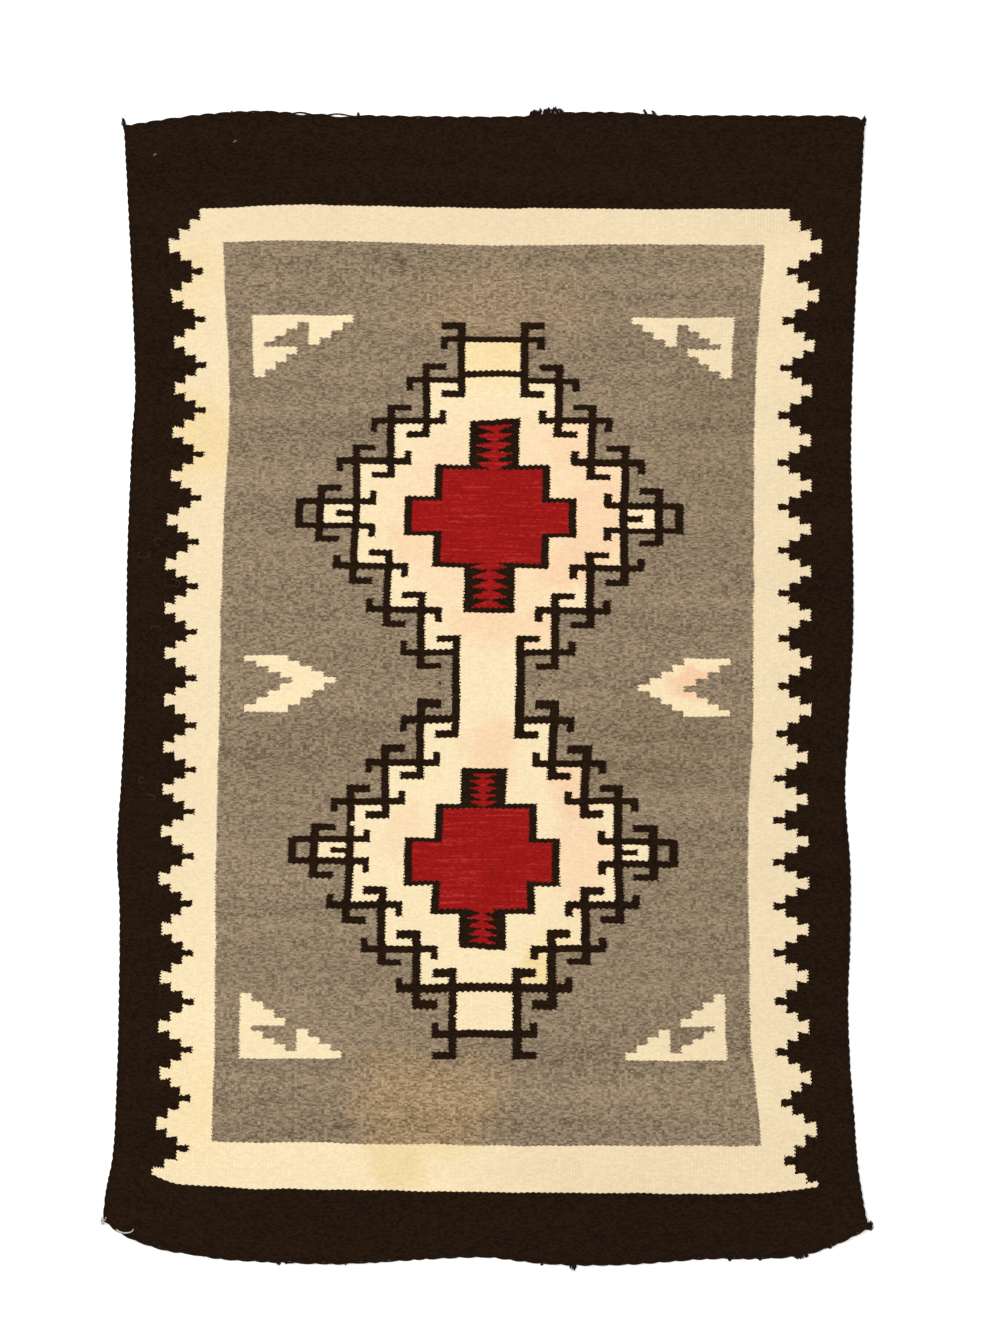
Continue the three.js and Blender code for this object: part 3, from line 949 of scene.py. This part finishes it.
def woven_material():
    """The cloth's wool, coloured bead by bead, with the dips between its warps and its rows, and painted
    shade darkening its colour in these dips.
    """
    material, tree, shader = new_material("woven_wool", WOOL_LOOK)
    warp, row, tooth = (Num(tree, attribute(tree, name, "Fac")) for name in ("warp", "row", "tooth"))

    # Every second warp's beads lie a third of a row further on, and every second row's a third of a warp
    column = warp.floor()
    brick = (column * 0.5).fract() * 0.7
    bead_row = (row + brick).floor()
    bead = bead_noise(tree, combine(tree, column, bead_row))
    pick = bead_noise(tree, combine(tree, bead_row, 0.0, 7.0))
    turn = (bead_row * 0.5).fract() * 0.7 + pick * 0.35
    seen_row = bead_row + 0.5 - brick
    seen_tooth = tooth - (seen_row - row) / ROWS_PER_TOOTH
    masks = woven_masks(warp + turn - 0.17, seen_row, seen_tooth)
    color, place = woven_color(tree, masks, woven_wools(tree, warp, row, bead))

    # Painted shade: the base colour is darkened along the dips between warps and between rows, where shade
    # falls.
    across = abs(warp.fract() - 0.5) * 2
    between = abs((row + brick).fract() - 0.5) * 2
    rib_share = soft_noise(tree, combine(tree, warp * 0.03, row * 0.03, 4.0), detail=2) + 0.5
    shade = 1 - across**4 * rib_share * 0.13 - between**4 * 0.06
    tree.links.new(scaled(tree, color, shade), shader.inputs["Base Color"])
    fibre = soft_noise(tree, place, scale=1.1, detail=3, roughness=0.7)
    height = fibre * 0.8 - across**2 * 0.5 - between**2 * 0.6 + bead * 0.25
    add_bump(tree, shader, height, 0.6, 0.35)
    return material


# Yarns: tubes gathered into one mesh
def route_frame(route):
    """Directions beside and over a route at each of its points, and the route's length up to there."""
    along = np.gradient(route, axis=0)
    along /= np.linalg.norm(along, axis=1)[:, None]
    side = np.cross(along, (0.0, 0.0, 1.0))
    side[np.linalg.norm(side, axis=1) < 1e-3] = (1.0, 0.0, 0.0)
    side /= np.linalg.norm(side, axis=1)[:, None]
    lengths = np.concatenate(([0], np.cumsum(np.linalg.norm(np.diff(route, axis=0), axis=1))))
    return side, np.cross(side, along), lengths


class Yarns:
    """Gathers round strands, with the angle and length along each that its material needs."""

    def __init__(self):
        self.points = []
        self.faces = []
        self.turns = []
        self.count = 0

    def add(self, route, radius, sides=6):
        """A tapered tube along an array of points, closed at both ends."""
        route = np.asarray(route, float)
        side, top, lengths = route_frame(route)
        angles = np.arange(sides) / sides * 2 * math.pi
        radii = np.broadcast_to(np.asarray(radius, float), (len(route),))
        cosines, sines = np.cos(angles)[None, :, None], np.sin(angles)[None, :, None]
        ring = cosines * side[:, None] + sines * top[:, None]
        points = route[:, None] + ring * radii[:, None, None]
        turns = np.empty((len(route), sides, 3))
        turns[..., 0], turns[..., 1], turns[..., 2] = np.cos(angles), np.sin(angles), lengths[:, None]
        index = np.arange(points.shape[0] * sides).reshape(-1, sides) + self.count
        wrapped = np.concatenate((index, index[:, :1]), axis=1)
        self.faces += [f[::-1] for f in grid_faces(wrapped).tolist()]
        self.faces += [index[0].tolist(), index[-1, ::-1].tolist()]
        self.points.append(points.reshape(-1, 3))
        self.turns.append(turns.reshape(-1, 3))
        self.count += index.size

    def show(self, name, material):
        piece = show_mesh(name, np.concatenate(self.points), self.faces, material)
        turn = piece.data.attributes.new("turn", "FLOAT_VECTOR", "POINT")
        turn.data.foreach_set("vector", np.concatenate(self.turns).astype(np.float32).ravel())
        return piece


def yarn_material(name, levels):
    """Spun wool: fibres wind round each strand, with lighter and darker ones among them, and painted shade
    in the grooves between the wound fibres.
    """
    material, tree, shader = new_material(name, WOOL_LOOK)
    split = tree.nodes.new("ShaderNodeSeparateXYZ")
    tree.links.new(attribute(tree, "turn", "Vector"), split.inputs[0])
    cosine, sine, along = (Num(tree, socket) for socket in split.outputs)
    angle = sine.do("ARCTAN2", cosine)
    fibre_turns, fibre_pitch = 4, 3.2
    wound = angle * fibre_turns + along * (2 * math.pi / fibre_pitch)
    coordinates = tree.nodes.new("ShaderNodeTexCoord").outputs["Object"]
    speck = soft_noise(tree, coordinates, scale=900, detail=3, roughness=0.7)
    cloud = soft_noise(tree, coordinates, scale=60, detail=2)
    # The wound term is painted shade: the colour darkens in the grooves between the wound fibres, where the
    # bump also dips. The specks and clouds are the wool's own lighter and darker fibres.
    strength = wound.do("SINE") * 0.12 + speck * 0.9 + cloud * 0.5 + 1
    tree.links.new(tinted(tree, levels, strength), shader.inputs["Base Color"])
    add_bump(tree, shader, wound.do("SINE") * 0.5 + speck * 1.2, 0.7, 0.25)
    return material


# Twisted edge cords
# Each ply's radius, the distance of its middle from the cord's, sideways and up, how far apart one ply's
# bumps lie along the cord, the step between two points of it, and how many fibres stand out of the cord
END_PLY = {"radius": 1.5, "aside": 1.45, "up": 0.65, "lobe": 22, "step": 1.6, "fuzz": 420}
SIDE_PLY = {"radius": 1.3, "aside": 1.0, "up": 0.8, "lobe": 11, "step": 1.5, "fuzz": 630}
# Each cord runs along an edge, across the rug (axis 0) or along it (axis 1), from one corner to the next
CORDS = {
    "end_cord_top": (TOP_EDGE, 0, "top_left", "top_right"),
    "end_cord_bottom": (BOTTOM_EDGE, 0, "bottom_left", "bottom_right"),
    "selvage_cord_left": (LEFT_EDGE, 1, "bottom_left", "top_left"),
    "selvage_cord_right": (RIGHT_EDGE, 1, "bottom_right", "top_right"),
}
# Where one ply has come off the other: its place along the cord, its reach and how far it stands out
STAND_OFFS = {"end_cord_top": ((-252, 15, 2.2), (-198, 27, 2.8))}
FUZZ_START = 1.6  # from the cord's middle line
FUZZ_REACH = 3.4


def cord_route(edge, axis, places):
    """A cord's middle line at places along its edge."""
    x, y = places, inset_edge(edge, places, CORD_DEPTH)
    if axis == 1:
        x, y = y, x
    return np.stack((x, y, ripple_height(x, y) + CORD_HEIGHT), axis=-1)


def twist_cord(yarns, route, twist, rng, stand_offs, outward):
    """Two plies wound round each other along a route, apart where one of them stands off."""
    side, top, lengths = route_frame(route)
    stations = np.arange(0, lengths[-1] + 30, 30)
    uneven = np.interp(lengths, stations, rng.normal(0, 0.6, len(stations)))
    apart = np.zeros(len(route))
    for at, reach, out in stand_offs:
        apart += out * soft_bump(np.abs(route[:, 0] - at) / reach)
    wound = 1 / (1 + apart)
    for ply in (0, 1):
        angle = math.pi * lengths / twist["lobe"] + uneven + ply * math.pi
        sideways, up = twist["aside"] * np.cos(angle) * wound, twist["up"] * np.sin(angle) * wound
        offset = sideways[:, None] * side + up[:, None] * top
        offset[:, 1] += outward * apart * (1, -0.6)[ply]
        swell = 1 + 0.1 * np.sin(lengths / 7.3 + ply) + 0.07 * np.sin(lengths / 2.9 + 2 * ply)
        radius = twist["radius"] * swell * (1 - 0.15 * np.minimum(apart, 2))
        yarns.add(route + offset, radius, sides=8)


def add_fuzz(yarns, route, count, outward, rng):
    """Fine fibres that stand out of a cord."""
    for _ in range(count):
        i = rng.integers(2, len(route) - 2)
        angle = rng.uniform(-0.5, 1.5)
        out = np.array((*(math.cos(angle) * outward), max(math.sin(angle), -0.3)))
        start = route[i] + out * FUZZ_START
        lean = rng.normal(0, 0.7, 3) * (1, 1, 0.3)
        length = rng.uniform(0.5, 1) * FUZZ_REACH
        t = np.linspace(0, 1, 4)[:, None]
        fibre = start + (out + lean * t) * length * t
        fibre[:, 2] = np.maximum(fibre[:, 2], 0.15)
        yarns.add(fibre, np.linspace(0.11, 0.05, 4), sides=3)


# Frayed strands that stand out of an end cord: the place along it, how far the tip stands out, how far it
# lies to the right, and the width
FRAYED_STRANDS = {
    "end_cord_top": (
        (-345, 2.2, 0.5, 1.5), (-173, 4.2, -1, 2.4), (60, 6.5, -0.5, 3.4), (64, 7.5, 0.5, 4),
        (67.5, 6.5, 1, 3), (71.5, 9.5, 0.6, 2), (79, 7, -0.8, 4), (83.5, 8, 0.4, 4.4), (88, 7, 1, 3.4),
        (98, 7.5, -7.5, 2.6), (104, 5, -7, 2.4), (217, 6, -6, 1.8), (229, 5.5, -7, 2),
    ),
    "end_cord_bottom": (
        (-279, 3.2, -3, 2.4), (-272, 2, 0.8, 2), (-190, 2.2, -0.8, 1.5), (75, 3, -1.6, 2.2),
        (114, 5, -1.4, 2.2), (118, 8.1, 0, 2.6), (326, 2.6, 3, 3.4), (370, 2.4, -2, 2.6),
        (419, 3.6, -1.6, 4), (424, 4.6, 0.6, 4.4), (430, 3.6, 2.2, 3.6), (462, 2, 2, 2.6),
    ),
}


WISP_FIBRES = 24
SPUN_FIBRES = 10  # of them, which make the core


def add_wisp(yarns, root, step, width, rng):
    """A frayed strand: a thin spun core that opens into loose fibres towards its tip, a step away."""
    tip = root + (*step, 0)
    tip[2] = ripple_height(tip[0], tip[1]) + 0.5
    t = np.linspace(0, 1, 7)[:, None]
    reach = np.linalg.norm(tip - root)
    across = np.array((root[1] - tip[1], tip[0] - root[0], 0.0)) / reach
    for i in range(WISP_FIBRES):
        share = rng.uniform(-0.5, 0.5)
        length = rng.uniform(0.7, 1.12)
        bend = rng.normal(0, 0.1) * reach
        start = root + across * share * width * 0.8
        end = root + (tip - root) * length + across * share * width * rng.uniform(0.6, 1.8)
        path = start + (end - start) * t + across * bend * np.sin(t * math.pi)
        path = path + across * 0.12 * reach * np.sin(t * rng.uniform(3, 8)) * t
        path[:, 2] += rng.uniform(0, 0.12) * reach * np.sin(t[:, 0] * math.pi)
        spun = i < SPUN_FIBRES
        thick = width * (0.3 if spun else 0.16)
        lowest = ripple_height(path[:, 0], path[:, 1]) + max(0.3, thick)
        path[:, 2] = np.maximum(path[:, 2], lowest)
        yarns.add(path, np.linspace(thick, thick * 0.5 if spun else 0.09, 7), sides=5)


def make_cord(node, material, seed):
    """The cord along one edge, with its frayed strands and fuzz."""
    rng = np.random.default_rng(seed)
    yarns = Yarns()
    edge, axis, *corners = CORDS[node]
    ply = (END_PLY, SIDE_PLY)[axis]
    start, end = (corner_place(name)[axis] for name in corners)
    route = cord_route(edge, axis, np.arange(start, end, ply["step"]))
    outward = np.sign(edge["out"][0])
    twist_cord(yarns, route, ply, rng, STAND_OFFS.get(node, ()), outward)
    for at, rise, lean, width in FRAYED_STRANDS.get(node, ()):
        root = cord_route(edge, axis, np.array([at], float))[0]
        add_wisp(yarns, root, (lean, outward * (CORD_DEPTH + rise)), width, rng)
    square = np.array(((0, outward), (outward, 0))[axis])
    add_fuzz(yarns, route, ply["fuzz"], square, rng)
    return attach(yarns.show(f"{node}_yarn", material), node)


# Corner tassels: a knot of the cords' ends at shares across and along the rug, its slot, and its loose
# strands: how far each one's tip lies from it to the right and up, and the strand's width
CORNERS = {
    "top_left": (0, 1, "dark_yarn", ((-5, 13.5, 1.8), (-3.8, 11, 1.9), (-2.6, 7.5, 2.4))),
    "top_right": (1, 1, "dark_yarn", ((2.6, 11.5, 2.4), (3.4, 7, 2))),
    "bottom_left": (0, 0, "pale_yarn", ((-4.2, 0.5, 2.6), (-4, -4, 3), (-2.6, -8, 2.8))),
    "bottom_right": (1, 0, "dark_yarn", ((4.5, 9, 2.6), (6.6, 5.6, 2.8), (7.4, 1.6, 3), (6, -3.4, 2.6))),
}
KNOT_RADIUS = 2.9
# A yarn's end lies by the bottom left corner: steps to the right of its knot and up, and off its middle
LOOSE_END = (
    (16, -14), (20, -16.6), (24, -18), (28, -18.6), (32, -18.4), (35.5, -17.6), (38, -16), (39.5, -13.6),
)
LOOSE_END_LIFT = 3.2


def corner_place(name):
    """The middle of a corner's knot."""
    s, t, *_ = CORNERS[name]
    x, y = rug_point([s], [t], CORD_DEPTH)
    return np.array((x[0], y[0], ripple_height(x[0], y[0]) + CORD_HEIGHT))


def add_knot(yarns, center):
    """A cord tied round itself: a trefoil knot, pressed flat."""
    t = np.linspace(0, 2 * math.pi, 61)
    ring = 0.5 * KNOT_RADIUS * (2 + np.cos(3 * t)) / 1.6
    lift = 0.8 * np.sin(3 * t)
    route = center + np.stack((ring * np.cos(2 * t), ring * np.sin(2 * t), lift), axis=-1)
    yarns.add(route, 1.05, sides=8)


def make_tassel(name, materials, seed):
    """A corner's knot and its loose strands, and at the bottom left a loose end of yarn."""
    rng = np.random.default_rng(seed)
    yarns = Yarns()
    center = corner_place(name)
    *_, slot, strands = CORNERS[name]
    add_knot(yarns, center)
    for right, up, width in strands:
        add_wisp(yarns, center, (right, up), width, rng)
    if name == "bottom_left":
        end = np.array([center + (*step, LOOSE_END_LIFT) for step in LOOSE_END])
        yarns.add(end, np.linspace(1.0, 0.7, len(end)))
    tassel = yarns.show(f"tassel_{name}_yarn", materials[slot])
    return attach(tassel, f"corner_tassel_{name}")


# Hairs that lie on the cloth, each at x and y, with its size and turn, and bits of lint
HAIRS = (
    (-441, 201, 9, 0.4),
    (-464, 184, 12, 2.1),
    (-420, 143, 10, 3.6),
    (-444, 82, 8, 5.0),
    (-463, -120, 9, 1.2),
    (-452, -146, 8, 4.2),
)
LINT = ((-448, 722), (-340, 740))


def make_hairs(material):
    """Curled hairs and two bits of lint, as one piece."""
    yarns = Yarns()
    t = np.linspace(0, 1, 24)

    def lay_down(x, y, lift, radius):
        z = ripple_height(x, y) + CLOTH_THICKNESS + lift
        yarns.add(np.stack((x, y, z), axis=-1), radius, sides=5)

    for x, y, size, turn in HAIRS:
        angle = turn + t * 4.6
        radius = size * (0.35 + 0.65 * t)
        aside = radius * np.cos(angle) - 0.3 * size * t
        lay_down(x + aside, y + 0.7 * radius * np.sin(angle), 0.55, 0.12)
    for x, y in LINT:
        angle = t * 9
        aside = 2.6 * np.cos(angle) * (1 - 0.5 * t)
        up = 1.8 * np.sin(angle * 1.3) * (1 - 0.4 * t)
        lay_down(x + aside, y + up, 0.6 + 0.3 * np.sin(angle * 2), 0.5)
    return attach(yarns.show("stray_hairs", material))


# Floor, light and camera
# The floor glows a little, as a lit table does, to stay white round the rug
FLOOR_LOOK = {
    "Base Color": (0.96, 0.96, 0.96, 1),
    "Roughness": 1.0,
    "Specular IOR Level": 0.0,
    "Emission Color": (1, 1, 1, 1),
    "Emission Strength": 0.25,
}
FLOOR_HALF = 8.0  # of its side, in metres
FLOOR_DROP = 0.0003  # under the rug's lowest point
SKY_STRENGTH = 0.85
LAMP_PLACE = (-2.2, 1.6, 6.0)
LAMP_SIZE = 2.5
LAMP_POWER = 237


def make_floor():
    mesh = bpy.data.meshes.new("floor")
    corners = [(x * FLOOR_HALF, y * FLOOR_HALF, 0) for x, y in ((-1, -1), (1, -1), (1, 1), (-1, 1))]
    mesh.from_pydata(corners, [], [(0, 1, 2, 3)])
    mesh.materials.append(new_material("floor_white", FLOOR_LOOK)[0])
    floor = add_object("floor", mesh)
    floor.location.z = -FLOOR_DROP


def make_light():
    world = bpy.data.worlds.new("studio")
    world.use_nodes = True
    sky = world.node_tree.nodes["Background"]
    set_inputs(sky, {"Color": (1, 1, 1, 1), "Strength": SKY_STRENGTH})
    bpy.context.scene.world = world
    lamp = bpy.data.lights.new("overhead", "AREA")
    lamp.size = LAMP_SIZE
    lamp.energy = LAMP_POWER
    light = add_object("overhead", lamp)
    light.location = LAMP_PLACE
    light.rotation_euler = Vector(light.location).to_track_quat("Z", "Y").to_euler()


def make_camera():
    """It looks straight down at the middle of its view."""
    data = bpy.data.cameras.new("camera")
    data.lens = LENS
    data.sensor_fit = "VERTICAL"
    data.sensor_height = SENSOR
    distance = VIEW_LENGTH * LENS / SENSOR
    camera = add_object("camera", data)
    camera.location = (VIEW_X * MM, VIEW_Y * MM, distance * MM)
    scene = bpy.context.scene
    scene.camera = camera
    scene.view_settings.view_transform = "Standard"
    scene.view_settings.look = "None"


make_camera()
make_light()
make_floor()

cloth = make_cloth(woven_material())
materials = {
    "dark_yarn": yarn_material("dark_yarn", DARK_WOOL),
    "pale_yarn": yarn_material("pale_yarn", PALE_WOOL),
}
edging = [make_cord(name, materials["dark_yarn"], seed) for seed, name in enumerate(CORDS, start=11)]
edging += [make_tassel(name, materials, seed) for seed, name in enumerate(CORNERS, start=21)]
make_hairs(yarn_material("hair", HAIR_COLOR))
